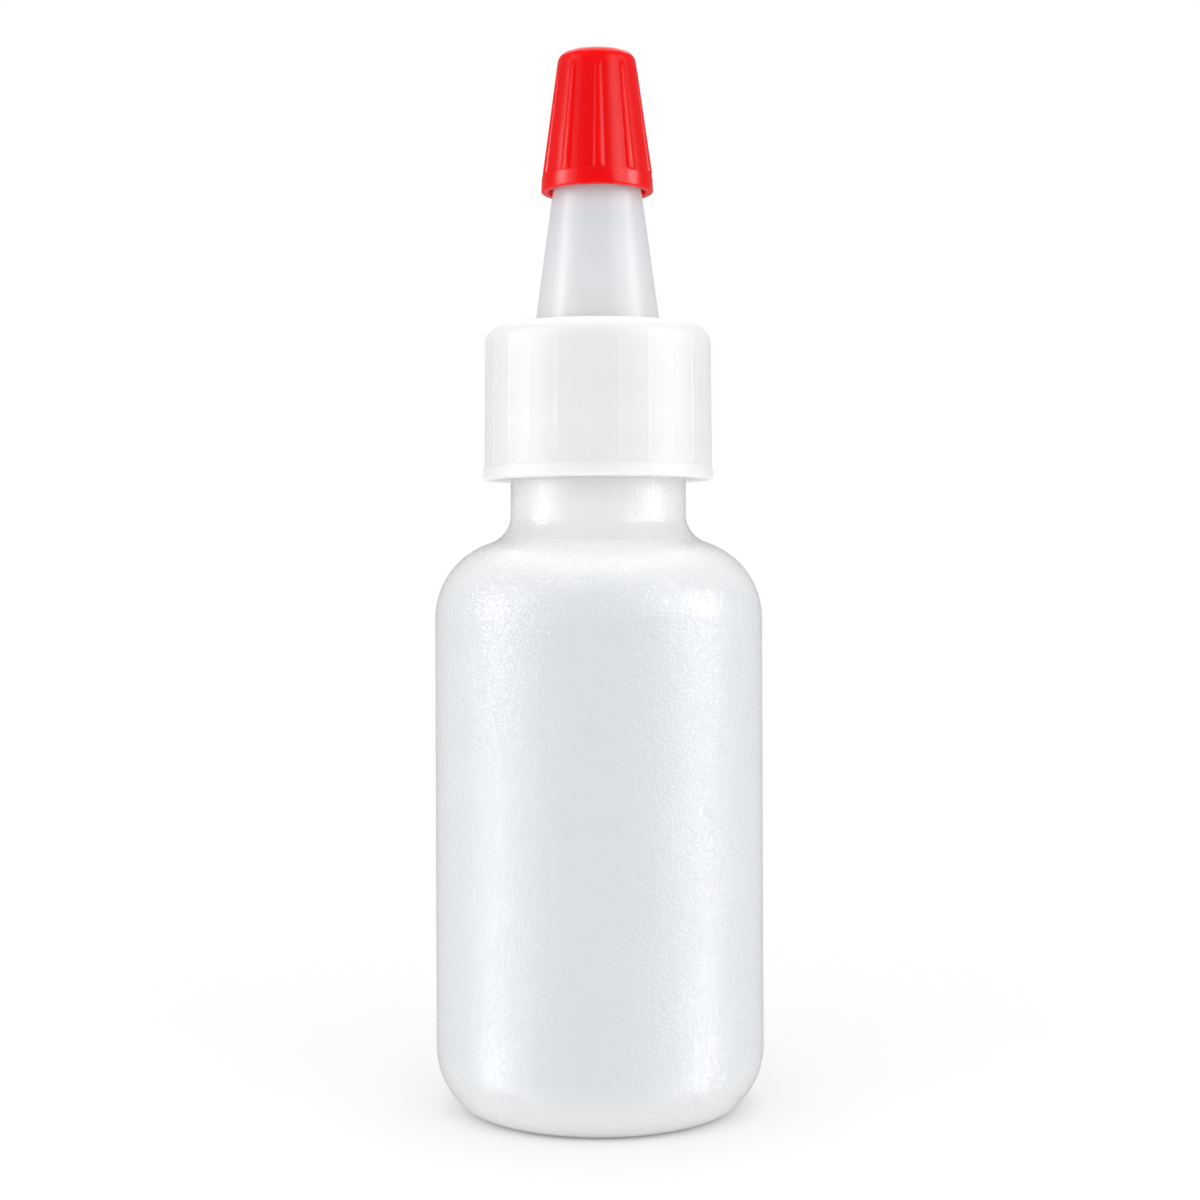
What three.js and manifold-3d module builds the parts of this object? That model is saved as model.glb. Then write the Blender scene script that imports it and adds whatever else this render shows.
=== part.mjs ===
// Squeeze bottle: a translucent round-shouldered bottle, a conical spout held by a screw collar,
// and a fluted cap pushed over the tip. Millimetres, +Z up, the front of the object towards -Y.
// The origin is the centre of the base, on the surface that the bottle stands on.

import * as THREE from 'three';
import { ConvexGeometry } from 'three/addons/geometries/ConvexGeometry.js';
import { mergeVertices } from 'three/addons/utils/BufferGeometryUtils.js';
import loadManifold from 'manifold-3d';

const library = await loadManifold();
library.setup();
const { Manifold, Mesh: SolidMesh } = library;

// Bottle shell
const BODY_RADIUS = 16.54;
const BODY_WALL = 0.9;
const HEEL_RADIUS = 7.4;
const HEEL_TURN = 48;
const FOOT_EDGE_RADIUS = 2.8;
const FOOT_RING_WIDTH = 1.2;
const PUSH_UP_HEIGHT = 1.6;
const SHOULDER_START = 49.2;
const SHOULDER_RADIUS = 8.0;
const SHOULDER_SLOPE = 22;
const NECK_RADIUS = 8.875;
const NECK_WALL = 1.9;
const NECK_FILLET = 2.9;
const NECK_HEIGHT = 14.7;
const LAND_EDGE = 0.3;

// Fits: faces that rest on each other, and round pieces that slip into or over each other
const SEAT_GAP = 0.3;
const SLIP_GAP = 0.3;

// Sealing washer
const WASHER_THICKNESS = 0.8;

// Spout
const FLANGE_THICKNESS = 1.2;
const FLANGE_EDGE = 0.25;
const PLUG_LENGTH = 2.6;
const PLUG_WALL = 1.2;
const SPOUT_HEIGHT = 26.1;
const SPOUT_ROOT_RADIUS = 6.365;
const SPOUT_TIP_RADIUS = 2.8;
const SPOUT_WALL = 1.15;
const TIP_EDGE = 0.35;
const ORIFICE_RADIUS = 0.9;
const ORIFICE_LENGTH = 1.5;
const THROAT_LENGTH = 0.9;

// Screw collar
const COLLAR_HEIGHT = 15.5;
const COLLAR_TOP_THICKNESS = 1.45;
const COLLAR_TOP_ROUNDING = 1.7;
const COLLAR_WALL = 1.38;
const COLLAR_DRAFT = 0.11;
const COLLAR_MOUTH_CHAMFER = 0.4;
const THREAD_ROOM = 1.275;
const BAND_HEIGHT = 1.3;
const BAND_STEP = 0.1;
const BAND_EDGE = 0.2;
const BEAD_CATCH = 0.45;
const BEAD_HEIGHT = 0.8;
const BEAD_CREST = 0.3;
const RIB_COUNT = 24;
const RIB_FIRST = 10;
const RIB_HEIGHT = 0.03;
const RIB_WIDTH = 0.7;
const RIB_CREST = 0.15;
const RIB_ROOT = 0.35;

// Tip cap
const CAP_HEIGHT = 14.1;
const CAP_WALL = 0.98;
const CAP_TOP_THICKNESS = 1.35;
const CAP_TOP_ROUNDING = 1.0;
const CAP_MOUTH_FLARE = 0.17;
const RIM_HEIGHT = 1.53;
const RIM_STEP = 0.04;
const RIM_FLARE = 0.07;
const RIM_EDGE = 0.15;
const RIDGE_COUNT = 10;
const RIDGE_FIRST = 1.5;
const RIDGE_HEIGHT = 0.235;
const RIDGE_TOP_HEIGHT = 0.13;
const RIDGE_CREST = 0.11;
const RIDGE_ROUNDING = 0.73;
const RIDGE_FLANK = 40;
const RIDGE_ROOT = 0.3;
const RIDGE_FOOT = 0.25;
const RIDGE_RUN_OUT = 0.8;
const RIDGE_TOP_MARGIN = 1.25;
const PIN_LENGTH = 1.6;
const PIN_GAP = 0.35;

// Facets round the axis: the collar's and the cap's divide evenly between their ribs and ridges
const BOTTLE_FACETS = 60;
const SPOUT_FACETS = 44;
const COLLAR_FACETS = 48;
const CAP_FACETS = 40;
const WELD = 1e-5;

const radians = THREE.MathUtils.degToRad;
const at = (radius, height) => new THREE.Vector2(radius, height);

// Points of an arc in the profile plane, angles counted from the outward direction
function arc(radius, height, size, from, to, steps) {
  const curve = new THREE.EllipseCurve(radius, height, size, size, from, to, to < from);
  return curve.getPoints(steps);
}

// A profile of radius and height turned about +Z, starting at the front
function revolve(profile, facets) {
  return new THREE.LatheGeometry(profile, facets).rotateX(Math.PI / 2);
}

function ringOf(profile, facets) {
  return revolve([...profile, profile[0]], facets);
}

// Booleans work on welded triangles
function toSolid(geometry) {
  const bare = new THREE.BufferGeometry();
  bare.setAttribute('position', geometry.getAttribute('position').clone());
  bare.setIndex(geometry.index);
  const welded = mergeVertices(bare, WELD);
  const corners = welded.index.array;
  const kept = [];
  for (let i = 0; i < corners.length; i += 3) {
    const [a, b, c] = corners.slice(i, i + 3);
    if (a !== b && b !== c && c !== a) kept.push(a, b, c);
  }
  const mesh = new SolidMesh({
    numProp: 3,
    vertProperties: new Float32Array(welded.getAttribute('position').array),
    triVerts: new Uint32Array(kept),
  });
  mesh.merge();
  return new Manifold(mesh);
}

function toGeometry(solid) {
  const mesh = solid.getMesh();
  const geometry = new THREE.BufferGeometry();
  geometry.setAttribute('position', new THREE.BufferAttribute(mesh.vertProperties, mesh.numProp));
  geometry.setIndex(new THREE.BufferAttribute(mesh.triVerts, 1));
  geometry.computeVertexNormals();
  return geometry;
}

// A point of a rib or ridge: outward, sideways and up, before it is turned to its place
const local = (outward, sideways, height) => new THREE.Vector3(sideways, -outward, height);

// Equal copies of one convex form round the axis, the first one turned to the given angle
function around(points, count, first) {
  const copies = [];
  for (let i = 0; i < count; i += 1) {
    const turn = radians(first + (360 * i) / count);
    copies.push(toSolid(new ConvexGeometry(points).rotateZ(turn)));
  }
  return Manifold.union(copies);
}

// Heights and radii that the pieces share
const slope = radians(SHOULDER_SLOPE);
const roundingRoom = (BODY_RADIUS - NECK_RADIUS) / (1 - Math.sin(slope));
const roundingScale = Math.min(1, roundingRoom / (SHOULDER_RADIUS + NECK_FILLET));
const shoulderRadius = SHOULDER_RADIUS * roundingScale;
const neckFillet = NECK_FILLET * roundingScale;
const neckBore = NECK_RADIUS - NECK_WALL;
const neckStart = filletCentre(0, NECK_RADIUS, neckFillet).y;
const landHeight = neckStart + NECK_HEIGHT;
const washerBase = landHeight + SEAT_GAP;
const flangeBase = washerBase + WASHER_THICKNESS + SEAT_GAP;
const collarCeiling = flangeBase + FLANGE_THICKNESS + SEAT_GAP;
const collarTop = collarCeiling + COLLAR_TOP_THICKNESS;
const collarBase = collarTop - COLLAR_HEIGHT;
const spoutTip = collarTop + SPOUT_HEIGHT;
const capCeiling = spoutTip + SEAT_GAP;
const capTop = capCeiling + CAP_TOP_THICKNESS;
const capBase = capTop - CAP_HEIGHT;
const plugRadius = neckBore - SLIP_GAP;
const collarBore = NECK_RADIUS + THREAD_ROOM;
const flangeRadius = collarBore - SLIP_GAP;

// Outer radius of the spout's cone at a height above the table
function coneRadius(height) {
  const share = (height - collarTop) / SPOUT_HEIGHT;
  return THREE.MathUtils.lerp(SPOUT_ROOT_RADIUS, SPOUT_TIP_RADIUS, share);
}

// Where the shoulder's arc ends and its straight slope begins, on a skin set in from the outside
function slopeStart(inset) {
  const size = shoulderRadius - inset;
  const centre = BODY_RADIUS - shoulderRadius;
  return at(centre + size * Math.sin(slope), SHOULDER_START + size * Math.cos(slope));
}

// Centre of the rounding between the shoulder's slope and a neck wall of the given radius
function filletCentre(inset, neck, fillet) {
  const start = slopeStart(inset);
  const touch = neck + fillet * (1 - Math.sin(slope));
  const rise = (start.x - touch) * Math.tan(slope);
  return at(neck + fillet, start.y + rise + fillet * Math.cos(slope));
}

// One skin of the bottle from the middle of the base up to the neck
function bottleSkin(inset, neck, fillet) {
  const heelTurn = radians(HEEL_TURN);
  const foot = FOOT_EDGE_RADIUS - inset;
  const heel = HEEL_RADIUS - inset;
  const footCentre = BODY_RADIUS - HEEL_RADIUS
    + (HEEL_RADIUS - FOOT_EDGE_RADIUS) * Math.cos(heelTurn);
  const heelHeight = FOOT_EDGE_RADIUS + (HEEL_RADIUS - FOOT_EDGE_RADIUS) * Math.sin(heelTurn);
  const domeEdge = footCentre - FOOT_RING_WIDTH;
  const domeRadius = (domeEdge ** 2 + PUSH_UP_HEIGHT ** 2) / (2 * PUSH_UP_HEIGHT);
  const domeCentre = PUSH_UP_HEIGHT - domeRadius + inset;
  const domeTurn = Math.asin(domeEdge / domeRadius);
  const quarter = Math.PI / 2;
  const centre = filletCentre(inset, neck, fillet);
  return [
    at(0, PUSH_UP_HEIGHT + inset),
    ...arc(0, domeCentre, domeRadius, quarter, quarter - domeTurn, 4).slice(1),
    ...arc(footCentre, FOOT_EDGE_RADIUS, foot, -quarter, -heelTurn, 4),
    ...arc(BODY_RADIUS - HEEL_RADIUS, heelHeight, heel, -heelTurn, 0, 6).slice(1),
    ...arc(BODY_RADIUS - shoulderRadius, SHOULDER_START, shoulderRadius - inset, 0, quarter - slope, 7),
    ...arc(centre.x, centre.y, fillet, 3 * quarter - slope, 2 * quarter, 5),
  ];
}

function makeBottle() {
  const outside = bottleSkin(0, NECK_RADIUS, neckFillet);
  const inside = bottleSkin(BODY_WALL, neckBore, neckFillet + BODY_WALL).reverse();
  const land = [
    at(NECK_RADIUS, landHeight - LAND_EDGE),
    at(NECK_RADIUS - LAND_EDGE, landHeight),
    at(neckBore + LAND_EDGE, landHeight),
    at(neckBore, landHeight - LAND_EDGE),
  ];
  return revolve([...outside, ...land, ...inside], BOTTLE_FACETS);
}

function makeWasher() {
  return ringOf([
    at(plugRadius + SLIP_GAP, 0),
    at(NECK_RADIUS, 0),
    at(NECK_RADIUS, WASHER_THICKNESS),
    at(plugRadius + SLIP_GAP, WASHER_THICKNESS),
  ], SPOUT_FACETS);
}

// The spout's heights count from the underside of its flange
function makeSpout() {
  const rootHeight = collarTop - flangeBase;
  const tipHeight = spoutTip - flangeBase;
  const throatTop = tipHeight - ORIFICE_LENGTH;
  const throatBase = throatTop - THROAT_LENGTH;
  return ringOf([
    at(plugRadius - PLUG_WALL, -PLUG_LENGTH),
    at(plugRadius - FLANGE_EDGE, -PLUG_LENGTH),
    at(plugRadius, FLANGE_EDGE - PLUG_LENGTH),
    at(plugRadius, 0),
    at(flangeRadius - FLANGE_EDGE, 0),
    at(flangeRadius, FLANGE_EDGE),
    at(flangeRadius, FLANGE_THICKNESS - FLANGE_EDGE),
    at(flangeRadius - FLANGE_EDGE, FLANGE_THICKNESS),
    at(SPOUT_ROOT_RADIUS, FLANGE_THICKNESS),
    at(SPOUT_ROOT_RADIUS, rootHeight),
    at(coneRadius(spoutTip - TIP_EDGE), tipHeight - TIP_EDGE),
    at(SPOUT_TIP_RADIUS - TIP_EDGE, tipHeight),
    at(ORIFICE_RADIUS, tipHeight),
    at(ORIFICE_RADIUS, throatTop),
    at(coneRadius(flangeBase + throatBase) - SPOUT_WALL, throatBase),
    at(SPOUT_ROOT_RADIUS - SPOUT_WALL, rootHeight),
    at(plugRadius - PLUG_WALL, 0),
  ], SPOUT_FACETS);
}

// The collar's heights count from its lower rim
function makeCollar() {
  const hole = SPOUT_ROOT_RADIUS + SLIP_GAP;
  const ceiling = COLLAR_HEIGHT - COLLAR_TOP_THICKNESS;
  const wallBase = collarBore + COLLAR_WALL;
  const wallTop = wallBase - COLLAR_DRAFT;
  const band = wallBase + BAND_STEP;
  const ribTop = COLLAR_HEIGHT - COLLAR_TOP_ROUNDING;
  const beadTop = flangeBase - SEAT_GAP - collarBase;
  const beadRadius = flangeRadius - BEAD_CATCH;
  const beadSide = (BEAD_HEIGHT - BEAD_CREST) / 2;
  const ring = ringOf([
    at(collarBore + COLLAR_MOUTH_CHAMFER, 0),
    at(band - BAND_EDGE, 0),
    at(band, BAND_EDGE),
    at(band, BAND_HEIGHT),
    at(wallBase, BAND_HEIGHT),
    ...arc(wallTop - COLLAR_TOP_ROUNDING, ribTop, COLLAR_TOP_ROUNDING, 0, Math.PI / 2, 6),
    at(hole, COLLAR_HEIGHT),
    at(hole, ceiling),
    at(collarBore, ceiling),
    at(collarBore, beadTop),
    at(beadRadius, beadTop - beadSide),
    at(beadRadius, beadTop - BEAD_HEIGHT + beadSide),
    at(collarBore, beadTop - BEAD_HEIGHT),
    at(collarBore, COLLAR_MOUTH_CHAMFER),
  ], COLLAR_FACETS);
  const ribBase = BAND_HEIGHT - BAND_STEP;
  const ribEnd = (wall, height) => [
    local(wall - RIB_ROOT, -RIB_WIDTH / 2, height),
    local(wall - RIB_ROOT, RIB_WIDTH / 2, height),
    local(wall, -RIB_WIDTH / 2, height),
    local(wall, RIB_WIDTH / 2, height),
    local(wall + RIB_HEIGHT, -RIB_CREST / 2, height),
    local(wall + RIB_HEIGHT, RIB_CREST / 2, height),
  ];
  const rib = [...ribEnd(wallBase, ribBase), ...ribEnd(wallTop, ribTop)];
  return toGeometry(toSolid(ring).add(around(rib, RIB_COUNT, RIB_FIRST)));
}

// The cap's heights count from its lower rim
function makeTipCap() {
  const outside = (height) => coneRadius(capBase + height) + SLIP_GAP + CAP_WALL;
  const inside = (height) => coneRadius(capBase + height) + SLIP_GAP;
  const ceiling = CAP_HEIGHT - CAP_TOP_THICKNESS;
  const rimTop = outside(RIM_HEIGHT) + RIM_STEP;
  const rim = rimTop + RIM_FLARE;
  const pin = ORIFICE_RADIUS - PIN_GAP;
  const taper = Math.atan2(SPOUT_ROOT_RADIUS - SPOUT_TIP_RADIUS, SPOUT_HEIGHT);
  const roundingHeight = CAP_HEIGHT - CAP_TOP_ROUNDING;
  const roundingCentre = outside(roundingHeight) - CAP_TOP_ROUNDING / Math.cos(taper);
  const body = revolve([
    at(0, ceiling - PIN_LENGTH),
    at(pin, ceiling - PIN_LENGTH),
    at(pin, ceiling),
    at(inside(ceiling), ceiling),
    at(inside(RIM_HEIGHT), RIM_HEIGHT),
    at(inside(0) + CAP_MOUTH_FLARE, 0),
    at(rim - RIM_EDGE, 0),
    at(rim, RIM_EDGE),
    at(rimTop, RIM_HEIGHT - RIM_STEP),
    at(outside(RIM_HEIGHT), RIM_HEIGHT),
    ...arc(roundingCentre, roundingHeight, CAP_TOP_ROUNDING, taper, Math.PI / 2, 6),
    at(0, CAP_HEIGHT),
  ], CAP_FACETS);
  const flank = radians(RIDGE_FLANK);
  const across = (points, height) => points.flatMap(([sideways, rise]) => [
    local(outside(height) + rise, sideways, height),
    local(outside(height) + rise, -sideways, height),
  ]);
  // One end of a ridge: the crest, its rounding, the flank down to the wall, and the root inside the wall
  const ridgeEnd = (tall, height, landing) => {
    const scale = tall / RIDGE_HEIGHT;
    const side = (turn) => [
      (RIDGE_CREST / 2 + RIDGE_ROUNDING * Math.sin(turn)) * scale,
      (RIDGE_HEIGHT - RIDGE_ROUNDING * (1 - Math.cos(turn))) * scale,
    ];
    const [reach, rise] = side(flank);
    const foot = reach + rise / Math.tan(flank);
    return [
      ...across([side(0), side(flank / 2), [reach, rise]], height),
      ...across([[foot, 0], [foot, -RIDGE_ROOT]], landing),
    ];
  };
  const ridgeTop = CAP_HEIGHT - RIDGE_TOP_MARGIN;
  const ridge = [
    ...ridgeEnd(RIDGE_HEIGHT, RIM_HEIGHT + RIDGE_FOOT, RIM_HEIGHT),
    ...ridgeEnd(RIDGE_TOP_HEIGHT, ridgeTop - RIDGE_RUN_OUT, ridgeTop),
  ];
  return toGeometry(toSolid(body).add(around(ridge, RIDGE_COUNT, RIDGE_FIRST)));
}

const naturalPlastic = new THREE.MeshStandardMaterial({
  color: 0xdfe3e8, roughness: 0.35, metalness: 0, transparent: true, opacity: 0.75,
});
const washerFoam = new THREE.MeshStandardMaterial({ color: 0xf2f2ee, roughness: 0.8, metalness: 0 });
const whitePlastic = new THREE.MeshStandardMaterial({ color: 0xf4f5f5, roughness: 0.4, metalness: 0 });
const redPlastic = new THREE.MeshStandardMaterial({ color: 0xeb1013, roughness: 0.3, metalness: 0 });

// Each piece stands at its own height on the axis of the bottle
function piece(name, geometry, material, height) {
  const mesh = new THREE.Mesh(geometry, material);
  mesh.name = name;
  mesh.position.z = height;
  return mesh;
}

const squeezeBottle = new THREE.Group();
squeezeBottle.add(
  piece('bottle', makeBottle(), naturalPlastic, 0),
  piece('sealing_washer', makeWasher(), washerFoam, washerBase),
  piece('spout', makeSpout(), naturalPlastic, flangeBase),
  piece('collar', makeCollar(), whitePlastic, collarBase),
  piece('tip_cap', makeTipCap(), redPlastic, capBase),
);

export default squeezeBottle;
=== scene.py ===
import math

import bpy
import numpy as np
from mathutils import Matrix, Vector


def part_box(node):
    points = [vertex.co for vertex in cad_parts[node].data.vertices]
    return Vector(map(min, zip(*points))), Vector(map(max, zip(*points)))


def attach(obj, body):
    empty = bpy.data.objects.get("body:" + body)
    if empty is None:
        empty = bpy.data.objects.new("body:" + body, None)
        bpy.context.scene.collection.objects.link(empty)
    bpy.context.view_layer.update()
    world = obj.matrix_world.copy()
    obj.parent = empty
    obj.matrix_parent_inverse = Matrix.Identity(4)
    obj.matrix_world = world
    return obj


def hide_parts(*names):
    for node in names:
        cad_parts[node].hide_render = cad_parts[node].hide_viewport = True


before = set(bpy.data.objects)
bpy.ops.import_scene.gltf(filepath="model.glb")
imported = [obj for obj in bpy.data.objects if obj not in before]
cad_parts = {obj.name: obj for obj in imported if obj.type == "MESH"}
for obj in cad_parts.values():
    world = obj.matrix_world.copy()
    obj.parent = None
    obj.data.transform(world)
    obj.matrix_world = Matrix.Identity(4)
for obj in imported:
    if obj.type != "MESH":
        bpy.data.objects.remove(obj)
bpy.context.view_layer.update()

MM = 0.001
TURN = 2 * math.pi
WHITE = (1.0, 1.0, 1.0, 1.0)


# Heights and radii of the frame

def reach(node):
    """Lowest height, highest height and outer radius of a frame node, in millimetres."""
    low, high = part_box(node)
    return low.z / MM, high.z / MM, high.x / MM


_, LAND, BODY_RADIUS = reach("bottle")
WASHER_BASE, WASHER_TOP, NECK_RADIUS = reach("sealing_washer")
PLUG_END, SPOUT_TIP, FLANGE_RADIUS = reach("spout")
COLLAR_BASE, COLLAR_TOP, BAND_RADIUS = reach("collar")
CAP_BASE, CAP_TOP, RIM_RADIUS = reach("tip_cap")

SEAT_GAP = 0.3
SLIP_GAP = 0.3
HAIR = 0.05

# Bottle shell
BODY_WALL = 0.9
HEEL_RADIUS = 7.4
HEEL_TURN = 48.0
FOOT_EDGE_RADIUS = 2.8
FOOT_RING_WIDTH = 1.2
PUSH_UP_HEIGHT = 1.6
SHOULDER_START = 49.2
SHOULDER_RADIUS = 8.0
SHOULDER_SLOPE = 22.0
NECK_WALL = 1.9
NECK_FILLET = 2.9
NECK_HEIGHT = 14.7
LAND_EDGE = 0.3
MOULD_LINE_PLACES = (90, 270)
MOULD_LINE_HEIGHT = 0.05
MOULD_LINE_WIDTH = 0.13
MOULD_LINE_START = 1.5
WELD_HEIGHT = 0.16
WELD_WIDTH = 0.28
WELD_REACH = 9.0
NECK_START = LAND - NECK_HEIGHT
NECK_BORE = NECK_RADIUS - NECK_WALL

# Screw thread on the neck and in the collar
THREAD_PITCH = 3.175
THREAD_TURNS = 1.55
THREAD_START = 66.9
NECK_THREAD = {"height": 1.0, "base": 1.7, "crest": 0.8}
COLLAR_THREAD = {"height": 1.0, "base": 1.15, "crest": 0.6}

# Sealing washer
WASHER_EDGE = 0.12

# Spout
FLANGE_BASE = WASHER_TOP + SEAT_GAP
FLANGE_TOP = FLANGE_BASE + 1.2
PLUG_RADIUS = NECK_BORE - SLIP_GAP
PLUG_WALL = 1.2
SPOUT_ROOT_RADIUS = 6.365
SPOUT_TIP_RADIUS = 2.8
SPOUT_WALL = 1.15
ORIFICE_RADIUS = 0.9
ORIFICE_LENGTH = 1.5
THROAT_LENGTH = 0.9

# Screw collar
COLLAR_BORE = FLANGE_RADIUS + SLIP_GAP
COLLAR_CEILING = FLANGE_TOP + SEAT_GAP
COLLAR_HOLE = SPOUT_ROOT_RADIUS + SLIP_GAP
BAND_TOP = COLLAR_BASE + 1.3
BAND_STEP = 0.1
COLLAR_DRAFT = 0.11
COLLAR_HALF_WALL = 0.6
COLLAR_TOP_ROUNDING = 1.7
MOUTH_CHAMFER = 0.4
BEAD_TOP = WASHER_TOP
BEAD_HEIGHT = 0.8
BEAD_SLOPE = 0.25
BEAD_RADIUS = FLANGE_RADIUS - 0.45
RIB_COUNT = 24
RIB_FIRST = 10.0
RIB_HEIGHT = 0.03
RIB_WIDTH = 0.7
RIB_CREST = 0.15
RIB_FOOT = 0.06
RIB_RUN_OUT = 1.0

# Tip cap
CAP_WALL = 0.98
CAP_CEILING = SPOUT_TIP + SEAT_GAP
CAP_TOP_ROUNDING = 1.0
MOUTH_FLARE = 0.17
RIM_TOP = CAP_BASE + 1.53
RIM_STEP = 0.04
RIDGE_COUNT = 10
RIDGE_FIRST = 1.5
RIDGE_TOP_SHARE = 0.553
RIDGE_CREST = 0.11
RIDGE_ROUNDING = 0.78
RIDGE_ROOT_ROUNDING = 0.22
RIDGE_FLANK = 37.0
RIDGE_FOOT = 0.25
RIDGE_RUN_OUT = 0.8
RIDGE_END = CAP_TOP - 1.25
PIN_RADIUS = ORIFICE_RADIUS - 0.35
PIN_END = CAP_CEILING - 1.6


# Half sections

def arc(radius, height, size, start, end, count):
    """Arc: its centre plus size times the cosine and sine of even angles from start to end, in degrees."""
    angle = np.radians(np.linspace(start, end, count))
    return np.stack([radius + size * np.cos(angle), height + size * np.sin(angle)], axis=1)


def rounded(corners, closed, count=7):
    """Half section through corners of radius, height and rounding. Each corner becomes the arc that touches
    both its sides: the arc starts rounding / tan(half angle) along each side, and its centre lies
    rounding / sin(half angle) along the bisector. An open section keeps its two end points."""
    corners = np.asarray(corners, dtype=float)
    points, size = corners[:, :2], corners[:, 2:]
    back = np.roll(points, 1, axis=0) - points
    ahead = np.roll(points, -1, axis=0) - points
    back /= np.linalg.norm(back, axis=1, keepdims=True)
    ahead /= np.linalg.norm(ahead, axis=1, keepdims=True)
    half = 0.5 * np.arccos(np.sum(back * ahead, axis=1, keepdims=True))
    bisector = back + ahead
    bisector /= np.linalg.norm(bisector, axis=1, keepdims=True)
    centre = points + bisector * size / np.sin(half)
    start = points + back * size / np.tan(half) - centre
    end = points + ahead * size / np.tan(half) - centre
    span = (math.pi - 2 * half)[:, None, :]
    share = np.linspace(0, 1, count)[None, :, None]
    swing = np.sin((1 - share) * span) * start[:, None] + np.sin(share * span) * end[:, None]
    arcs = centre[:, None] + swing / np.sin(span)
    if closed:
        return arcs.reshape(-1, 2)
    return np.vstack([points[:1], arcs[1:-1].reshape(-1, 2), points[-1:]])


def fine(section, step, closed):
    """Half section with each of its sides split into equal lengths no longer than step."""
    starts = section if closed else section[:-1]
    sides = (np.roll(section, -1, axis=0) if closed else section[1:]) - starts
    parts = np.maximum(1, np.ceil(np.linalg.norm(sides, axis=1) / step)).astype(int)
    side = np.repeat(np.arange(len(parts)), parts)
    first = np.repeat(np.cumsum(parts) - parts, parts)
    share = (np.arange(parts.sum()) - first) / parts[side]
    points = starts[side] + sides[side] * share[:, None]
    return points if closed else np.vstack([points, section[-1:]])


# Surfaces

def columns(count, places=(), near=0.0, extra=0):
    """Angles of the columns round the axis: even ones, and extra ones within near of each place that has
    relief."""
    even = np.linspace(0, TURN, count, endpoint=False)
    if extra == 0:
        return even
    places = np.radians(places)
    off = np.abs((even[:, None] - places + math.pi) % TURN - math.pi).min(axis=1)
    close = (places[:, None] + np.linspace(-near, near, extra)).ravel() % TURN
    return np.sort(np.concatenate([even[off > near + math.pi / count], close]))


def turned(section, angle, relief=0.0, closed=False):
    """Surface of revolution: a section point goes to (radius sin a, -radius cos a, height) at each angle a,
    after relief has moved it along the section's normal, which is the section's direction turned to the
    right."""
    if closed:
        along = np.roll(section, -1, axis=0) - np.roll(section, 1, axis=0)
    else:
        along = np.gradient(section, axis=0)
    along /= np.linalg.norm(along, axis=1, keepdims=True)
    radius = section[:, :1] + along[:, 1:] * relief
    height = section[:, 1:] - along[:, :1] * relief
    level = np.broadcast_to(height, np.broadcast_shapes(height.shape, angle.shape))
    return np.stack([radius * np.sin(angle), -radius * np.cos(angle), level], axis=-1)


def skin(grid, closed):
    """Vertices, quads and triangles of a turned grid. Columns join round the axis. The rows of a closed
    section join into a ring, and the first and last row of an open one each meet in a point on the axis."""
    rows, count = grid.shape[:2]
    if closed:
        number = np.arange(rows * count).reshape(rows, count)
        number = np.vstack([number, number[:1]])
        after = np.roll(number, -1, axis=1)
        quads = np.stack([number[:-1], after[:-1], after[1:], number[1:]], axis=-1)
        return grid.reshape(-1, 3), quads.reshape(-1, 4), np.empty((0, 3), dtype=int)
    vertices = np.vstack([grid[0, :1], grid[1:-1].reshape(-1, 3), grid[-1, :1]])
    number = 1 + np.arange((rows - 2) * count).reshape(rows - 2, count)
    after = np.roll(number, -1, axis=1)
    quads = np.stack([number[:-1], after[:-1], after[1:], number[1:]], axis=-1)
    pole = np.zeros(count, dtype=int)
    fans = np.vstack([
        np.stack([pole, after[0], number[0]], axis=-1),
        np.stack([number[-1], after[-1], pole + len(vertices) - 1], axis=-1),
    ])
    return vertices, quads.reshape(-1, 4), fans


def add_piece(name, grid, closed, material, body, node):
    """Smooth mesh of a turned grid that stands for a frame node and rides on its body."""
    vertices, quads, fans = skin(grid, closed)
    mesh = bpy.data.meshes.new(name)
    mesh.from_pydata((vertices * MM).tolist(), [], quads.tolist() + fans.tolist())
    mesh.polygons.foreach_set("use_smooth", np.ones(len(mesh.polygons), dtype=bool))
    mesh.materials.append(material)
    mesh.update()
    piece = bpy.data.objects.new(name, mesh)
    bpy.context.scene.collection.objects.link(piece)
    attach(piece, body)
    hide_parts(node)
    return piece


# Relief

def ramp(value):
    """Smooth step: 0 below 0, 1 above 1, and 3 t^2 - 2 t^3 between."""
    share = np.clip(value, 0, 1)
    return share * share * (3 - 2 * share)


def line_bump(off, height, width):
    """Low line on the skin: its height times a bell curve of the distance off its middle."""
    return height * np.exp(-(off / width) ** 2)


def off_pattern(angle, radius, count, first):
    """Distance of each point off the middle of the nearest of count ribs round the axis."""
    pitch = TURN / count
    turn = (angle - math.radians(first) + pitch / 2) % pitch - pitch / 2
    return np.abs(radius * np.sin(turn))


def helix(angle, level, start, height, base, crest):
    """Right-hand thread: its middle rises by the pitch each turn from start, and a point's height on it
    falls from the crest to the base with its distance up or down from that middle. Both ends fade over an
    eighth of a turn."""
    turn = angle / TURN
    along = turn + np.round((level - start) / THREAD_PITCH - turn)
    off = np.abs(level - start - THREAD_PITCH * along)
    profile = ramp((base / 2 - off) / ((base - crest) / 2))
    ends = ramp(along * 8) * ramp((THREAD_TURNS - along) * 8)
    return height * profile * ends


# Pieces

def cone(level):
    """Outer radius of the spout: a straight line from its root at the collar's top to its tip."""
    share = (np.asarray(level) - COLLAR_TOP) / (SPOUT_TIP - COLLAR_TOP)
    return SPOUT_ROOT_RADIUS + (SPOUT_TIP_RADIUS - SPOUT_ROOT_RADIUS) * share


def cap_inside(level):
    """Inner radius of the cap: the spout's cone and the slip gap."""
    return cone(level) + SLIP_GAP


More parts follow.
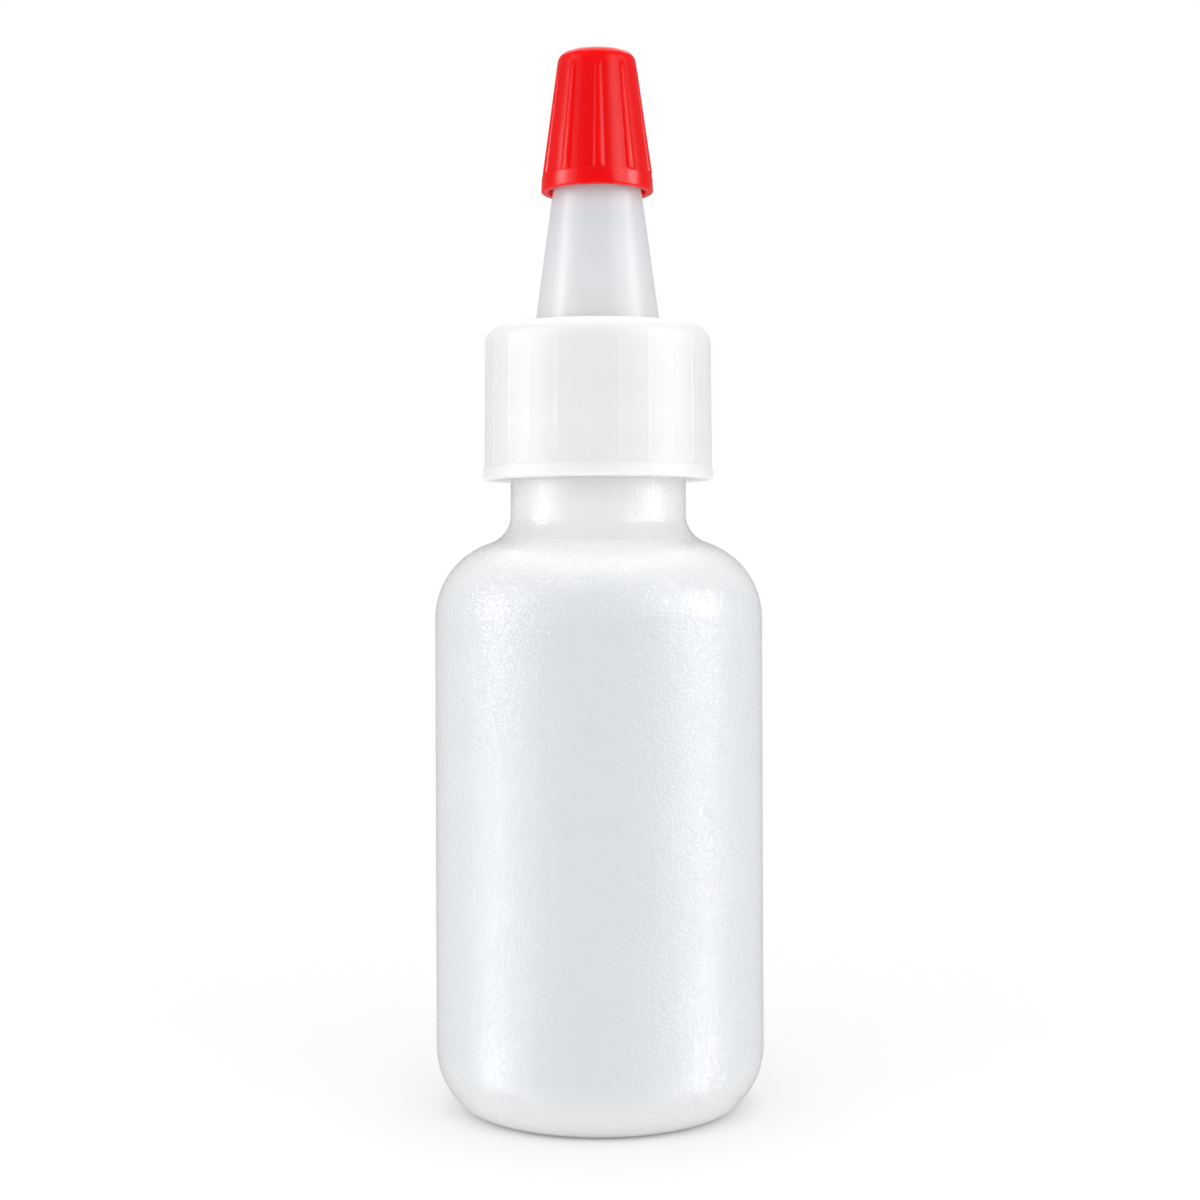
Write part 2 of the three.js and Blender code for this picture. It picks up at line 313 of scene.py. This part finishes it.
def cap_outside(level):
    """Outer radius of the cap between its ridges."""
    return cap_inside(level) + CAP_WALL


def bottle_skin(inset, neck, fillet):
    """One skin of the bottle as arcs that meet in line: the pushed-up base, the foot edge, the heel, the
    shoulder and the neck's fillet. The wall's inset shrinks the arcs that bulge out."""
    turn = math.radians(HEEL_TURN)
    slope = math.radians(SHOULDER_SLOPE)
    foot = BODY_RADIUS - HEEL_RADIUS + (HEEL_RADIUS - FOOT_EDGE_RADIUS) * math.cos(turn)
    heel = FOOT_EDGE_RADIUS + (HEEL_RADIUS - FOOT_EDGE_RADIUS) * math.sin(turn)
    edge = foot - FOOT_RING_WIDTH
    dome = (edge ** 2 + PUSH_UP_HEIGHT ** 2) / (2 * PUSH_UP_HEIGHT)
    dome_turn = math.degrees(math.asin(edge / dome))
    shoulder = BODY_RADIUS - SHOULDER_RADIUS
    bulge = SHOULDER_RADIUS - inset
    run = shoulder + bulge * math.sin(slope) - neck - fillet * (1 - math.sin(slope))
    start = SHOULDER_START + bulge * math.cos(slope) + run * math.tan(slope) + fillet * math.cos(slope)
    return np.vstack([
        arc(0, PUSH_UP_HEIGHT - dome + inset, dome, 90, 90 - dome_turn, 22),
        arc(foot, FOOT_EDGE_RADIUS, FOOT_EDGE_RADIUS - inset, -90, -HEEL_TURN, 10),
        arc(BODY_RADIUS - HEEL_RADIUS, heel, HEEL_RADIUS - inset, -HEEL_TURN, 0, 16)[1:],
        arc(shoulder, SHOULDER_START, bulge, 0, 90 - SHOULDER_SLOPE, 26),
        arc(neck + fillet, start, fillet, 270 - SHOULDER_SLOPE, 180, 16),
    ])


def make_bottle(material):
    """Thin shell from its outer skin, the threaded neck, the land and its inner skin. A fine mould line
    stands out on both sides, and a weld line crosses the pushed-up base."""
    outside = fine(bottle_skin(0, NECK_RADIUS, NECK_FILLET), 1.5, False)
    neck_ends = np.array([[NECK_RADIUS, NECK_START + 0.2], [NECK_RADIUS, LAND - LAND_EDGE]])
    neck = fine(neck_ends, 0.13, False)
    land = rounded([
        (NECK_RADIUS, LAND - 1, 0),
        (NECK_RADIUS, LAND, LAND_EDGE),
        (NECK_BORE, LAND, LAND_EDGE),
        (NECK_BORE, LAND - 1, 0),
    ], False)
    inside = fine(bottle_skin(BODY_WALL, NECK_BORE, NECK_FILLET + BODY_WALL), 3.0, False)[::-1]
    section = np.vstack([outside, neck[:-1], land[1:-1], inside])
    angle = columns(200, MOULD_LINE_PLACES, 0.035, 9)
    radius, level = section[:, :1], section[:, 1:]
    outer = (np.arange(len(section)) < len(outside) + len(neck))[:, None]
    thread = helix(angle, level, THREAD_START, **NECK_THREAD) * outer * (radius > NECK_RADIUS - HAIR)
    off = np.abs(radius * np.cos(angle))
    line = line_bump(off, MOULD_LINE_HEIGHT, MOULD_LINE_WIDTH) * outer
    line = line * ramp((level - MOULD_LINE_START) / 3) * ramp((NECK_START - level) / 2)
    weld = line_bump(off, WELD_HEIGHT, WELD_WIDTH) * outer
    weld = weld * ramp((WELD_REACH - radius) / 1.5) * (level < PUSH_UP_HEIGHT + HAIR)
    grid = turned(section, angle, thread + line + weld)
    return add_piece("bottle_shell", grid, False, material, "bottle", "bottle")


def make_washer(material):
    """Flat ring with rounded edges."""
    section = fine(rounded([
        (NECK_BORE, WASHER_BASE, WASHER_EDGE),
        (NECK_RADIUS, WASHER_BASE, WASHER_EDGE),
        (NECK_RADIUS, WASHER_TOP, WASHER_EDGE),
        (NECK_BORE, WASHER_TOP, WASHER_EDGE),
    ], True), 0.4, True)
    grid = turned(section, columns(128), 0.0, True)
    return add_piece("washer_ring", grid, True, material, "spout", "sealing_washer")


def make_spout(material):
    """Conical nozzle: a plug, a flange, the cone and, back down, the orifice, the throat and the bore."""
    throat_top = SPOUT_TIP - ORIFICE_LENGTH
    throat_base = throat_top - THROAT_LENGTH
    section = fine(rounded([
        (PLUG_RADIUS - PLUG_WALL, PLUG_END, 0.1),
        (PLUG_RADIUS, PLUG_END, 0.3),
        (PLUG_RADIUS, FLANGE_BASE, 0.15),
        (FLANGE_RADIUS, FLANGE_BASE, 0.25),
        (FLANGE_RADIUS, FLANGE_TOP, 0.25),
        (SPOUT_ROOT_RADIUS, FLANGE_TOP, 0.2),
        (SPOUT_ROOT_RADIUS, COLLAR_TOP, 0.8),
        (SPOUT_TIP_RADIUS, SPOUT_TIP, 0.35),
        (ORIFICE_RADIUS, SPOUT_TIP, 0.12),
        (ORIFICE_RADIUS, throat_top, 0.15),
        (cone(throat_base) - SPOUT_WALL, throat_base, 0.4),
        (SPOUT_ROOT_RADIUS - SPOUT_WALL, COLLAR_TOP, 0.8),
        (PLUG_RADIUS - PLUG_WALL, FLANGE_BASE, 0.6),
    ], True), 0.8, True)
    grid = turned(section, columns(176), 0.0, True)
    return add_piece("spout_cone", grid, True, material, "spout", "spout")


def make_collar(material):
    """Screw ring with a plain lower band, a drafted wall with fine upright ribs, a rounded top edge, a hole
    for the spout, a bead that holds the spout's flange and the thread in its bore."""
    wall_base = BAND_RADIUS - BAND_STEP
    wall_top = wall_base - COLLAR_DRAFT
    bead_base = BEAD_TOP - BEAD_HEIGHT
    section = fine(rounded([
        (COLLAR_BORE + MOUTH_CHAMFER, COLLAR_BASE, 0.1),
        (BAND_RADIUS, COLLAR_BASE, 0.25),
        (BAND_RADIUS, BAND_TOP, 0.06),
        (wall_base, BAND_TOP, 0.03),
        (wall_top, COLLAR_TOP, COLLAR_TOP_ROUNDING),
        (COLLAR_HOLE, COLLAR_TOP, 0.2),
        (COLLAR_HOLE, COLLAR_CEILING, 0.2),
        (COLLAR_BORE, COLLAR_CEILING, 0.15),
        (COLLAR_BORE, BEAD_TOP, 0.1),
        (BEAD_RADIUS, BEAD_TOP - BEAD_SLOPE, 0.12),
        (BEAD_RADIUS, bead_base + BEAD_SLOPE, 0.12),
        (COLLAR_BORE, bead_base, 0.1),
        (COLLAR_BORE, COLLAR_BASE + MOUTH_CHAMFER, 0.15),
    ], True), 0.3, True)
    ribs = RIB_FIRST + np.arange(RIB_COUNT) * 360 / RIB_COUNT
    angle = columns(RIB_COUNT * 7, ribs, RIB_WIDTH / wall_base, 13)
    radius, level = section[:, :1], section[:, 1:]
    off = off_pattern(angle, radius, RIB_COUNT, RIB_FIRST)
    rib = RIB_HEIGHT * ramp((RIB_WIDTH / 2 - off) / ((RIB_WIDTH - RIB_CREST) / 2))
    rib = rib * (radius > COLLAR_BORE + COLLAR_HALF_WALL) * ramp((level - BAND_TOP) / RIB_FOOT)
    rib = rib * ramp((COLLAR_TOP - COLLAR_TOP_ROUNDING + RIB_RUN_OUT - level) / RIB_RUN_OUT)
    bore = (radius < COLLAR_BORE + HAIR) * (level < bead_base - 0.3) * (level > COLLAR_BASE + 0.6)
    thread = helix(angle, level, THREAD_START - THREAD_PITCH / 2, **COLLAR_THREAD) * bore
    grid = turned(section, angle, rib + thread, True)
    return add_piece("screw_collar", grid, True, material, "collar", "collar")


def ridge(off, scale):
    """Height of a cap ridge over the wall at a distance off its middle: a flat crest, an arc down to the
    flank's angle and an arc of the root back to the wall, all drawn at the given scale."""
    flank = math.radians(RIDGE_FLANK)
    off = off / scale
    shoulder = RIDGE_CREST / 2 + RIDGE_ROUNDING * math.sin(flank)
    foot = shoulder + RIDGE_ROOT_ROUNDING * math.sin(flank)
    from_crest = np.clip(off - RIDGE_CREST / 2, 0, shoulder)
    from_foot = np.clip(foot - off, 0, foot - shoulder)
    drop = RIDGE_ROUNDING - np.sqrt(RIDGE_ROUNDING ** 2 - from_crest ** 2)
    rise = RIDGE_ROOT_ROUNDING - np.sqrt(RIDGE_ROOT_ROUNDING ** 2 - from_foot ** 2)
    crest = (RIDGE_ROUNDING + RIDGE_ROOT_ROUNDING) * (1 - math.cos(flank))
    return np.where(off < shoulder, crest - drop, rise) * scale


def make_tip_cap(material):
    """Push-on cap: from the sealing pin over the ceiling, down the inside, round the mouth and rim and up the
    outside. Its ridges shrink evenly from the rim to a share of their size at the top, rise from the rim over
    a short foot and run out below the top."""
    section = fine(rounded([
        (0, PIN_END, 0),
        (PIN_RADIUS, PIN_END, 0.2),
        (PIN_RADIUS, CAP_CEILING, 0.1),
        (cap_inside(CAP_CEILING), CAP_CEILING, 0.2),
        (cap_inside(RIM_TOP), RIM_TOP, 0.3),
        (cap_inside(CAP_BASE) + MOUTH_FLARE, CAP_BASE, 0.1),
        (RIM_RADIUS, CAP_BASE, 0.18),
        (cap_outside(RIM_TOP) + RIM_STEP, RIM_TOP, 0.03),
        (cap_outside(RIM_TOP), RIM_TOP + 0.02, 0.02),
        (cap_outside(CAP_TOP), CAP_TOP, CAP_TOP_ROUNDING),
        (0, CAP_TOP, 0),
    ], False), 0.16, False)
    angle = columns(RIDGE_COUNT * 36)
    radius, level = section[:, :1], section[:, 1:]
    off = off_pattern(angle, radius, RIDGE_COUNT, RIDGE_FIRST)
    share = np.clip((RIDGE_END - level) / (RIDGE_END - RIM_TOP), 0, 1)
    scale = RIDGE_TOP_SHARE + (1 - RIDGE_TOP_SHARE) * share
    ends = ramp((level - RIM_TOP) / RIDGE_FOOT) * ramp((RIDGE_END - level) / RIDGE_RUN_OUT)
    ridges = ridge(off, scale) * ends * (radius > cap_inside(level) + CAP_WALL / 2)
    grid = turned(section, angle, ridges)
    return add_piece("ridged_tip_cap", grid, False, material, "tip_cap", "tip_cap")


# Finishes, with noise scales in cells a metre and depths of relief in metres

PEEL_GRAIN = 3000.0
PEEL_WRINKLE = 1700.0
PEEL_SHARE = 0.4
PEEL_RELIEF = 0.00009

BODY_TINT = (0.76, 0.80, 0.865)
# Colours by height: the body's own bluish tint, plus a lighter foot and a lighter neck and fillet. These are
# partly whiter thick plastic and partly painted light that stands in for light through the wall where the
# floor and the collar shade them.
BOTTLE_TINTS_AND_PAINTED_LIGHT = (
    (0.4, (0.97, 0.98, 0.99)),
    (2.0, (0.88, 0.91, 0.95)),
    (6.0, BODY_TINT),
    (SHOULDER_START + 2.3, BODY_TINT),
    (SHOULDER_START + 8.3, (0.96, 0.97, 0.985)),
)
# Colours by height: painted light lightens the spout's root where the collar shades it, painted shade darkens
# the cone just below the cap, and a faint painted pink glow under the cap's rim stands in for red light
# passing through the cap.
SPOUT_TINTS_AND_PAINTED_LIGHT = (
    (COLLAR_TOP, (0.87, 0.90, 0.95)),
    (CAP_BASE - 3.0, (0.70, 0.725, 0.81)),
    (CAP_BASE - 0.3, (0.80, 0.76, 0.82)),
    (CAP_BASE + 1.0, (0.76, 0.79, 0.86)),
)
# Colours by height: the collar's own white on the wall, with painted shade that darkens the lower band and
# the top rounding where the lamps and the light off the shoulder fall on them most strongly.
COLLAR_TINTS_AND_PAINTED_SHADE = (
    (BAND_TOP, (0.75, 0.75, 0.75)),
    (BAND_TOP + 5.0, (0.83, 0.83, 0.83)),
    (COLLAR_TOP - 2.2, (0.83, 0.83, 0.83)),
    (COLLAR_TOP - 0.6, (0.76, 0.76, 0.76)),
)
CAP_RED = (0.81, 0.003, 0.005, 1.0)
FOAM_WHITE = (0.82, 0.82, 0.79, 1.0)


def feed(tree, value, socket):
    """Sets a socket to a number, or links it to the output of another node."""
    if isinstance(value, float):
        socket.default_value = value
    else:
        tree.links.new(value, socket)


def join(tree, operation, *values):
    """Math node on numbers and outputs."""
    node = tree.nodes.new("ShaderNodeMath")
    node.operation = operation
    for socket, value in zip(node.inputs, values):
        feed(tree, value, socket)
    return node.outputs[0]


def noise(tree, scale, detail, distortion):
    """Noise on Object coordinates."""
    place = tree.nodes.new("ShaderNodeTexCoord")
    node = tree.nodes.new("ShaderNodeTexNoise")
    node.inputs["Detail"].default_value = detail
    node.inputs["Distortion"].default_value = distortion
    tree.links.new(place.outputs["Object"], node.inputs["Vector"])
    feed(tree, scale, node.inputs["Scale"])
    return node.outputs["Fac"]


def skin_height(tree, grain, wrinkle_scale, share):
    """Height of a moulded skin: a grain, mixed by a share with a wrinkle. The wrinkle is the square of a
    noise's distance from its middle, over that square plus a little, so it is flat with narrow creases."""
    crease = join(tree, "POWER", join(tree, "SUBTRACT", noise(tree, wrinkle_scale, 1.0, 0.4), 0.5), 2.0)
    wrinkle = join(tree, "DIVIDE", crease, join(tree, "ADD", crease, 0.003))
    rest = join(tree, "SUBTRACT", 1.0, share)
    return join(tree, "ADD", join(tree, "MULTIPLY", wrinkle, share), join(tree, "MULTIPLY", grain, rest))


def moulded_skin():
    """Shared finish of moulded plastic on Object coordinates: a fine grain and a coarser wrinkle for the
    height, a slow cloud for the colour, and the grain again for the roughness."""
    group = bpy.data.node_groups.new("moulded_skin", "ShaderNodeTree")
    for name, kind, value in (
        ("Colour", "NodeSocketColor", WHITE),
        ("Cloud", "NodeSocketFloat", 0.03),
        ("Cloud Scale", "NodeSocketFloat", 90.0),
        ("Roughness", "NodeSocketFloat", 0.35),
        ("Roughness Spread", "NodeSocketFloat", 0.08),
        ("Grain Scale", "NodeSocketFloat", 3000.0),
        ("Wrinkle Scale", "NodeSocketFloat", 1300.0),
        ("Wrinkle Share", "NodeSocketFloat", 0.5),
    ):
        socket = group.interface.new_socket(name, in_out="INPUT", socket_type=kind)
        socket.default_value = value
    group.interface.new_socket("Colour", in_out="OUTPUT", socket_type="NodeSocketColor")
    group.interface.new_socket("Roughness", in_out="OUTPUT", socket_type="NodeSocketFloat")
    group.interface.new_socket("Height", in_out="OUTPUT", socket_type="NodeSocketFloat")
    inputs = group.nodes.new("NodeGroupInput").outputs
    outputs = group.nodes.new("NodeGroupOutput").inputs
    grain = noise(group, inputs["Grain Scale"], 2.0, 0.0)
    height = skin_height(group, grain, inputs["Wrinkle Scale"], inputs["Wrinkle Share"])
    group.links.new(height, outputs["Height"])
    spread = join(group, "MULTIPLY", join(group, "SUBTRACT", grain, 0.5), inputs["Roughness Spread"])
    group.links.new(join(group, "ADD", inputs["Roughness"], spread), outputs["Roughness"])
    cloud = join(group, "SUBTRACT", noise(group, inputs["Cloud Scale"], 2.0, 0.3), 0.5)
    shade = join(group, "ADD", 1.0, join(group, "MULTIPLY", cloud, inputs["Cloud"]))
    tint = group.nodes.new("ShaderNodeVectorMath")
    tint.operation = "SCALE"
    group.links.new(inputs["Colour"], tint.inputs[0])
    group.links.new(shade, tint.inputs["Scale"])
    group.links.new(tint.outputs[0], outputs["Colour"])
    return group


moulded = moulded_skin()


def plastic(name, relief, settings, **shader_values):
    """Material with a Principled shader whose colour, roughness and bump come from the moulded skin."""
    material = bpy.data.materials.new(name)
    material.use_nodes = True
    nodes, links = material.node_tree.nodes, material.node_tree.links
    shader = nodes["Principled BSDF"]
    finish = nodes.new("ShaderNodeGroup")
    finish.name = "finish"
    finish.node_tree = moulded
    for socket, value in settings.items():
        finish.inputs[socket].default_value = value
    bump = nodes.new("ShaderNodeBump")
    bump.inputs["Distance"].default_value = relief
    bump.inputs["Strength"].default_value = 1.0
    links.new(finish.outputs["Height"], bump.inputs["Height"])
    links.new(finish.outputs["Colour"], shader.inputs["Base Color"])
    links.new(finish.outputs["Roughness"], shader.inputs["Roughness"])
    links.new(bump.outputs["Normal"], shader.inputs["Normal"])
    for socket, value in shader_values.items():
        shader.inputs[socket.replace("_", " ")].default_value = value
    return material


def orange_peel(material):
    """Bump of the clear top layer of one material, from its own grain and wrinkle. It breaks up the
    highlights and leaves the shading below smooth."""
    tree = material.node_tree
    peel = tree.nodes.new("ShaderNodeBump")
    peel.inputs["Distance"].default_value = PEEL_RELIEF
    peel.inputs["Strength"].default_value = 1.0
    grain = noise(tree, PEEL_GRAIN, 2.0, 0.0)
    tree.links.new(skin_height(tree, grain, PEEL_WRINKLE, PEEL_SHARE), peel.inputs["Height"])
    tree.links.new(peel.outputs["Normal"], tree.nodes["Principled BSDF"].inputs["Coat Normal"])


def tints_and_painted_light_by_height(material, tints):
    """Colour of the moulded skin from a ramp over the height on Object coordinates, given as heights in
    millimetres and colours. Besides the parts' own colours, the ramps hold painted light and shade."""
    nodes, links = material.node_tree.nodes, material.node_tree.links
    place = nodes.new("ShaderNodeTexCoord")
    split = nodes.new("ShaderNodeSeparateXYZ")
    links.new(place.outputs["Object"], split.inputs[0])
    share = nodes.new("ShaderNodeMapRange")
    share.inputs["From Max"].default_value = CAP_TOP * MM
    links.new(split.outputs["Z"], share.inputs["Value"])
    shades = nodes.new("ShaderNodeValToRGB")
    elements = shades.color_ramp.elements
    while len(elements) < len(tints):
        elements.new(0.5)
    for element, (level, colour) in zip(elements, tints):
        element.position = level / CAP_TOP
        element.color = (*colour, 1.0)
    links.new(share.outputs["Result"], shades.inputs["Fac"])
    links.new(shades.outputs["Color"], nodes["finish"].inputs["Colour"])


def natural_bottle_plastic():
    """Translucent natural plastic under a clear gloss with an orange peel."""
    material = plastic(
        "natural_plastic_bottle", 0.000008,
        {"Roughness": 0.5, "Roughness Spread": 0.05, "Wrinkle Scale": PEEL_WRINKLE,
         "Wrinkle Share": PEEL_SHARE, "Grain Scale": PEEL_GRAIN, "Cloud": 0.05},
        Coat_Weight=1.0, Coat_Roughness=0.06, Coat_IOR=1.5, Specular_IOR_Level=0.0, IOR=1.5,
        Subsurface_Weight=1.0, Subsurface_Radius=(1.0, 1.0, 1.0), Subsurface_Scale=0.0025,
        Sheen_Weight=0.35, Sheen_Roughness=0.3,
    )
    orange_peel(material)
    tints_and_painted_light_by_height(material, BOTTLE_TINTS_AND_PAINTED_LIGHT)
    return material


def natural_spout_plastic():
    """Smooth translucent natural plastic, with a faint painted pink glow under the red cap that stands in for
    red light through the cap.
    """
    material = plastic(
        "natural_plastic_spout", 0.000006,
        {"Roughness": 0.33, "Wrinkle Scale": 700.0, "Wrinkle Share": 0.1, "Cloud": 0.04},
        Specular_IOR_Level=0.3, IOR=1.5,
        Subsurface_Weight=1.0, Subsurface_Radius=(1.0, 1.0, 1.0), Subsurface_Scale=0.004,
    )
    tints_and_painted_light_by_height(material, SPOUT_TINTS_AND_PAINTED_LIGHT)
    return material


def white_collar_plastic():
    """Satin white plastic."""
    material = plastic(
        "white_plastic_collar", 0.000006,
        {"Roughness": 0.51, "Wrinkle Scale": 800.0, "Wrinkle Share": 0.1, "Cloud": 0.02},
        Specular_IOR_Level=0.7, IOR=1.5,
        Subsurface_Weight=1.0, Subsurface_Radius=(1.0, 1.0, 1.0), Subsurface_Scale=0.003,
    )
    tints_and_painted_light_by_height(material, COLLAR_TINTS_AND_PAINTED_SHADE)
    return material


def red_cap_plastic():
    """Semi-gloss red plastic that lets red light through its edges."""
    return plastic(
        "red_plastic_cap", 0.000006,
        {"Colour": CAP_RED, "Roughness": 0.22, "Wrinkle Scale": 700.0, "Wrinkle Share": 0.1, "Cloud": 0.06},
        Specular_IOR_Level=0.21, IOR=1.45,
        Subsurface_Weight=1.0, Subsurface_Radius=(1.0, 0.15, 0.15), Subsurface_Scale=0.002,
    )


def washer_ring_foam():
    """Dull closed-cell foam."""
    return plastic(
        "washer_foam_ring", 0.00006,
        {"Colour": FOAM_WHITE, "Roughness": 0.75, "Wrinkle Scale": 2400.0, "Cloud": 0.06},
    )


make_bottle(natural_bottle_plastic())
make_washer(washer_ring_foam())
make_spout(natural_spout_plastic())
make_collar(white_collar_plastic())
make_tip_cap(red_cap_plastic())


# Studio, in metres and degrees

LOOK_HEIGHT = 0.05
CARD_PLACE = (0.0349, -0.0195, 0.001)
CARD_TURN = 75.0
CARD_SIZE = (0.008, 0.028)
CARD_RADIANCE = 2.8
FILL = 0.64
MIRRORED_ROOM = 0.25
FLOOR_SIZE = 3.0
FLOOR_COLOUR = (0.866, 0.86, 0.855, 1.0)
FLOOR_GLOW = 0.02
FLOOR_BOUNCE = 0.12
SHADOW_REACH = 0.06
TABLE_POLISH = 0.85
CAMERA_PLACE = (0.0, -0.20558, 0.0541)
CAMERA_ROLL = 0.2
CAMERA_LENS = 60.75
CAMERA_SENSOR = 36.0
CAMERA_SHIFT = (0.00125, -0.0249)

scene = bpy.context.scene
scene.view_settings.view_transform = "Standard"


def softbox(name, azimuth, elevation, distance, width, height, radiance, shading=True, mirrored=True):
    """Rectangular lamp aimed at the middle of the bottle. Its power is radiance times pi times its area.
    Without shading it only makes highlights, and when it isn't mirrored it makes none."""
    lamp = bpy.data.lights.new(name, "AREA")
    lamp.shape = "RECTANGLE"
    lamp.size, lamp.size_y = width, height
    lamp.energy = radiance * math.pi * width * height
    holder = bpy.data.objects.new(name, lamp)
    side, up = math.radians(azimuth), math.radians(elevation)
    away = Vector((math.sin(side) * math.cos(up), -math.cos(side) * math.cos(up), math.sin(up)))
    holder.location = Vector((0, 0, LOOK_HEIGHT)) + away * distance
    holder.rotation_mode = "QUATERNION"
    holder.rotation_quaternion = away.to_track_quat("Z", "Y")
    holder.visible_camera = False
    holder.visible_diffuse = shading
    holder.visible_glossy = mirrored
    scene.collection.objects.link(holder)
    return holder


def table_card(name, sign):
    """Lamp that lies on the floor beside the heel, shines up and only makes highlights."""
    card = softbox(name, 0, 0, 0, *CARD_SIZE, CARD_RADIANCE, shading=False)
    across, ahead, up = CARD_PLACE
    card.location = (sign * across, ahead, up)
    card.rotation_mode = "XYZ"
    card.rotation_euler = (math.pi, 0, math.radians(sign * CARD_TURN))


def make_lamps():
    """Lamps on both sides, in front and overhead."""
    for side, sign in (("left", -1), ("right", 1)):
        softbox(side + "_softbox", sign * 62, 16, 0.6, 0.3, 0.5, 0.7)
        softbox(side + "_edge_softbox", sign * 95, 12, 0.6, 0.3, 0.5, 0.65, mirrored=False)
        softbox(side + "_sheen", sign * 78, 11, 0.57, 0.13, 0.37, 3.2, shading=False)
        softbox(side + "_broad_sheen", sign * 70, 11, 0.58, 0.32, 0.37, 1.4, shading=False)
        softbox(side + "_wide_sheen", sign * 72, 11, 0.59, 0.66, 0.37, 0.9, shading=False)
        softbox(side + "_core", sign * 79, 17, 0.56, 0.22, 0.22, 6.5, shading=False)
        table_card(side + "_card", sign)
    softbox("right_spout_sheen", 46, 25, 0.58, 0.22, 0.18, 4.4, shading=False)
    softbox("front_softbox", 0, 52, 0.62, 0.9, 0.3, 1.25, mirrored=False)
    softbox("low_front_softbox", 0, 14, 0.62, 0.6, 0.3, 0.16, mirrored=False)
    softbox("top_key", 180, 82, 0.62, 0.3, 0.3, 1.4, mirrored=False)
    softbox("top_softbox", 180, 78, 0.62, 1.0, 0.95, 0.5)
    softbox("top_front_sheen", 0, 82, 0.62, 0.52, 0.2, 3.2, shading=False)
    softbox("top_back_sheen", 180, 66, 0.62, 0.62, 0.52, 2.2, shading=False)


def blend_value(tree, share, low, high):
    """Value that goes from low to high with the share; each may be a number or an output."""
    node = tree.nodes.new("ShaderNodeMix")
    node.data_type = "FLOAT"
    for socket, value in zip((node.inputs[0], node.inputs[2], node.inputs[3]), (share, low, high)):
        feed(tree, value, socket)
    return node.outputs[0]


def blend_shaders(tree, share, first, second):
    """Shader that goes from the first to the second with the share."""
    node = tree.nodes.new("ShaderNodeMixShader")
    tree.links.new(share, node.inputs[0])
    tree.links.new(first.outputs[0], node.inputs[1])
    tree.links.new(second.outputs[0], node.inputs[2])
    return node


def make_room():
    """White room: its strength is 1 where the camera sees it, less where gloss mirrors it, and a fill light
    for the rest."""
    world = bpy.data.worlds.new("white_room")
    scene.world = world
    world.use_nodes = True
    room = world.node_tree
    backdrop = room.nodes["Background"]
    backdrop.inputs["Color"].default_value = WHITE
    path = room.nodes.new("ShaderNodeLightPath").outputs
    strength = blend_value(room, path["Is Glossy Ray"], FILL, MIRRORED_ROOM)
    strength = blend_value(room, path["Is Transmission Ray"], strength, 1.0)
    strength = blend_value(room, path["Is Camera Ray"], strength, 1.0)
    room.links.new(strength, backdrop.inputs["Strength"])


def floor_paper():
    """Pale paper that keeps the bottle's shadow. Where it is seen, it fades to plain white beyond the shadow,
    and in gloss it is a polished table that mirrors the lamps."""
    material = bpy.data.materials.new("floor_paper")
    material.use_nodes = True
    tree = material.node_tree
    path = tree.nodes.new("ShaderNodeLightPath").outputs
    seen = join(tree, "MAXIMUM", path["Is Camera Ray"], path["Is Glossy Ray"])
    seen = join(tree, "MAXIMUM", seen, path["Is Transmission Ray"])
    paper = tree.nodes["Principled BSDF"]
    paper.inputs["Base Color"].default_value = FLOOR_COLOUR
    paper.inputs["Roughness"].default_value = 0.9
    paper.inputs["Specular IOR Level"].default_value = 0.1
    paper.inputs["Emission Color"].default_value = WHITE
    glow = blend_value(tree, seen, FLOOR_BOUNCE, FLOOR_GLOW)
    tree.links.new(glow, paper.inputs["Emission Strength"])
    place = tree.nodes.new("ShaderNodeTexCoord")
    away = tree.nodes.new("ShaderNodeVectorMath")
    away.operation = "LENGTH"
    tree.links.new(place.outputs["Object"], away.inputs[0])
    far = tree.nodes.new("ShaderNodeMapRange")
    far.inputs["From Min"].default_value = SHADOW_REACH
    far.inputs["From Max"].default_value = SHADOW_REACH * 2
    tree.links.new(away.outputs["Value"], far.inputs["Value"])
    plain_white = tree.nodes.new("ShaderNodeEmission")
    sweep = blend_shaders(tree, blend_value(tree, seen, 0.0, far.outputs["Result"]), paper, plain_white)
    polished = tree.nodes.new("ShaderNodeBsdfGlossy")
    polished.inputs["Roughness"].default_value = 0.15
    table = blend_shaders(tree, blend_value(tree, path["Is Glossy Ray"], 0.0, TABLE_POLISH), sweep, polished)
    tree.links.new(table.outputs[0], tree.nodes["Material Output"].inputs["Surface"])
    return material


def make_floor():
    """Square of paper under the bottle."""
    half = FLOOR_SIZE / 2
    corners = [(-half, -half, 0), (half, -half, 0), (half, half, 0), (-half, half, 0)]
    mesh = bpy.data.meshes.new("floor")
    mesh.from_pydata(corners, [], [(0, 1, 2, 3)])
    mesh.materials.append(floor_paper())
    floor = bpy.data.objects.new("floor", mesh)
    scene.collection.objects.link(floor)


def make_camera():
    """Level camera in front of the bottle, with a small shift for the framing."""
    lens = bpy.data.cameras.new("camera")
    lens.sensor_width = CAMERA_SENSOR
    lens.lens = CAMERA_LENS
    lens.shift_x, lens.shift_y = CAMERA_SHIFT
    lens.clip_start = 0.01
    camera = bpy.data.objects.new("camera", lens)
    camera.location = CAMERA_PLACE
    camera.rotation_euler = (math.radians(90), math.radians(CAMERA_ROLL), 0.0)
    scene.collection.objects.link(camera)
    scene.camera = camera


make_lamps()
make_room()
make_floor()
make_camera()
